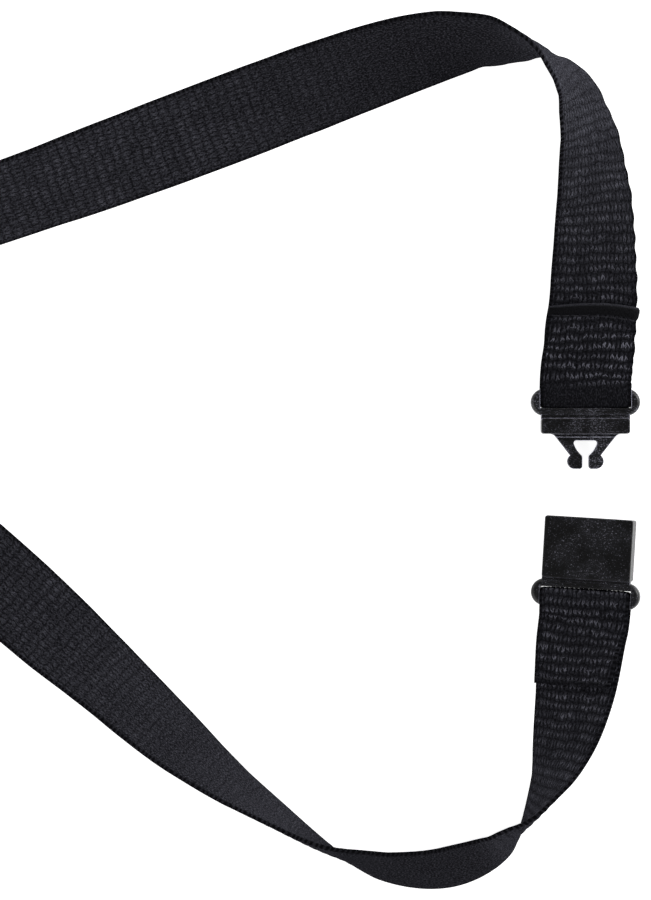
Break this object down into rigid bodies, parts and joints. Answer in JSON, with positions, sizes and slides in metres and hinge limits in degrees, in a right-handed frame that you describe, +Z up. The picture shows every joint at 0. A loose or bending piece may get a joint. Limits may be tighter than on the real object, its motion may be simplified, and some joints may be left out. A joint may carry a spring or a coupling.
{
  "type": "neck lanyard",
  "caption": "Flat woven neck lanyard lying loosely opened, with a plastic safety breakaway buckle and a swivel snap hook.",
  "frame": {"origin": "middle of the male buckle half's flat underside, on the surface the lanyard lies on", "axes": "+Y from the female buckle half to the male one, -X towards the snap hook, +Z up"},
  "size_m": [0.4021, 0.1948, 0.0201],
  "materials": {
    "webbing": "ribbed polyester webbing, black",
    "thread": "black sewing thread",
    "buckle": "fine-textured black acetal",
    "steel": "nickel-plated steel"
  },
  "bodies": {
    "lanyard": {"webbing_upper_bend": "webbing", "webbing_upper_run": "webbing", "webbing_lower_bend": "webbing", "webbing_lower_run": "webbing", "webbing_front_loop": "webbing", "front_crimp": "steel"},
    "male": {"male_half": "buckle", "webbing_male_fold": "webbing", "male_seam": "thread"},
    "female": {"female_half": "buckle", "webbing_female_fold": "webbing", "female_seam": "thread"},
    "eye": {"swivel_eye": "steel"},
    "hook": {"hook_body": "steel", "swivel_rivet": "steel", "gate_pin": "steel"},
    "gate": {"hook_gate": "steel", "gate_spring": "steel"}
  },
  "joints": [
    {"name": "buckle_close", "type": "slide", "parent": "lanyard", "child": "male", "axis": [0, -1, 0], "range_m": [0, 0.0176], "deforming": ["webbing_upper_bend"]},
    {"name": "female_turn", "type": "hinge", "parent": "lanyard", "child": "female", "pos_m": [-0.01048, -0.0365, 0.00313], "axis": [0, 0.9355, 0.3534], "range_deg": [0, 9.62], "deforming": ["webbing_lower_bend"]},
    {"name": "eye_tilt", "type": "hinge", "parent": "lanyard", "child": "eye", "pos_m": [-0.342, 0.0172, 0.0032], "axis": [0, 1, 0], "range_deg": [0, 70]},
    {"name": "hook_swivel", "type": "hinge", "parent": "eye", "child": "hook", "pos_m": [-0.3572, 0.0172, 0.0032], "axis": [1, 0, 0], "continuous": true},
    {"name": "gate_open", "type": "hinge", "parent": "hook", "child": "gate", "pos_m": [-0.3667, 0.0224, 0.0032], "axis": [0, 0, 1], "range_deg": [0, 28], "stiffness_Nm_per_rad": 0.02, "springref_deg": -20.05}
  ],
  "couplings": [
    {"joint": "female_turn", "follows": "buckle_close", "rad_per_m": 9.5396}
  ]
}
